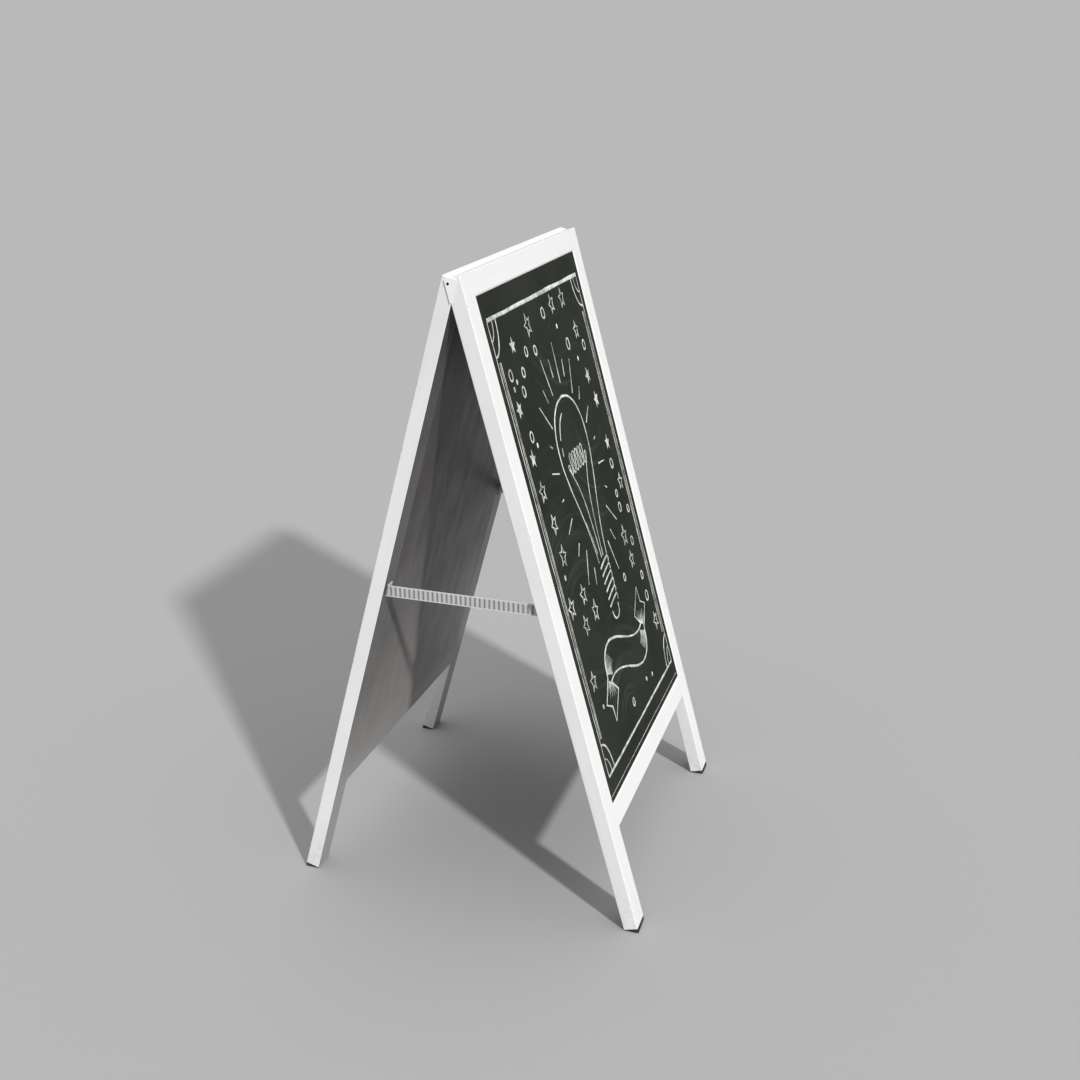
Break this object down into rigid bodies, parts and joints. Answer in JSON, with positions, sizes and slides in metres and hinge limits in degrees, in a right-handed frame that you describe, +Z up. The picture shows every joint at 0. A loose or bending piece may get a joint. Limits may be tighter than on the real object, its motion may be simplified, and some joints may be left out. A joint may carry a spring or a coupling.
{
  "type": "sandwich board",
  "caption": "Free-standing folding A-frame sign: hinged timber frames with a chalkboard on each outer side, rubber feet and webbing straps between the legs.",
  "frame": {"origin": "on the ground, midway between the four feet", "axes": "+Z up, -Y out of the front chalkboard, X along the hinge axis, +X on the right seen from the front"},
  "size_m": [0.6048, 0.6428, 1.1171],
  "materials": {
    "painted_timber": "satin white paint on planed softwood, inner faces in dark grey primer",
    "painted_pegs": "satin white paint on hardwood dowel",
    "bare_timber": "planed, unpainted softwood",
    "painted_backing": "dark grey primer on hardboard, paler with paint mist near the bottom",
    "chalkboard": "matt greenish-black chalkboard paint on board, with chalk marks",
    "foot_rubber": "matt black moulded rubber",
    "nail_steel": "bright steel",
    "hinge_steel": "zinc plated steel",
    "white_plate": "white powder coated steel",
    "black_screw": "blackened steel",
    "webbing": "grey ribbed webbing with a lighter selvedge",
    "zinc_fixings": "zinc plated steel"
  },
  "bodies": {
    "front_frame": {"front_backing_board": "painted_backing", "front_backing_pins": "nail_steel", "front_bottom_batten": "bare_timber", "front_bottom_rail": "painted_timber", "front_chalkboard": "chalkboard", "front_foot_nails": "nail_steel", "front_leaf_screws": "hinge_steel", "front_left_batten": "bare_timber", "front_left_foot": "foot_rubber", "front_left_stile": "painted_timber", "front_right_batten": "bare_timber", "front_right_foot": "foot_rubber", "front_right_stile": "painted_timber", "front_strap_screws": "zinc_fixings", "front_strap_washers": "zinc_fixings", "front_tenon_pegs": "painted_pegs", "front_top_batten": "bare_timber", "front_top_rail": "painted_timber", "left_hinge_front_leaf": "hinge_steel", "left_hinge_pin": "hinge_steel", "left_strap": "webbing", "left_strap_front_end": "webbing", "right_hinge_front_leaf": "hinge_steel", "right_hinge_pin": "hinge_steel", "right_strap": "webbing", "right_strap_front_end": "webbing"},
    "rear_frame": {"end_plate_pins": "white_plate", "end_plate_screws": "black_screw", "left_end_plate": "white_plate", "left_hinge_rear_leaf": "hinge_steel", "left_strap_rear_end": "webbing", "rear_backing_board": "painted_backing", "rear_backing_pins": "nail_steel", "rear_bottom_batten": "bare_timber", "rear_bottom_rail": "painted_timber", "rear_chalkboard": "chalkboard", "rear_foot_nails": "nail_steel", "rear_leaf_screws": "hinge_steel", "rear_left_batten": "bare_timber", "rear_left_foot": "foot_rubber", "rear_left_stile": "painted_timber", "rear_right_batten": "bare_timber", "rear_right_foot": "foot_rubber", "rear_right_stile": "painted_timber", "rear_strap_screws": "zinc_fixings", "rear_strap_washers": "zinc_fixings", "rear_tenon_pegs": "painted_pegs", "rear_top_batten": "bare_timber", "rear_top_rail": "painted_timber", "right_end_plate": "white_plate", "right_hinge_rear_leaf": "hinge_steel", "right_strap_rear_end": "webbing"}
  },
  "joints": [
    {"name": "fold", "type": "hinge", "parent": "front_frame", "child": "rear_frame", "pos_m": [0, 0, 1.07158], "axis": [-1, 0, 0], "range_deg": [0, 29.8], "deforming": ["left_strap", "right_strap"]}
  ]
}
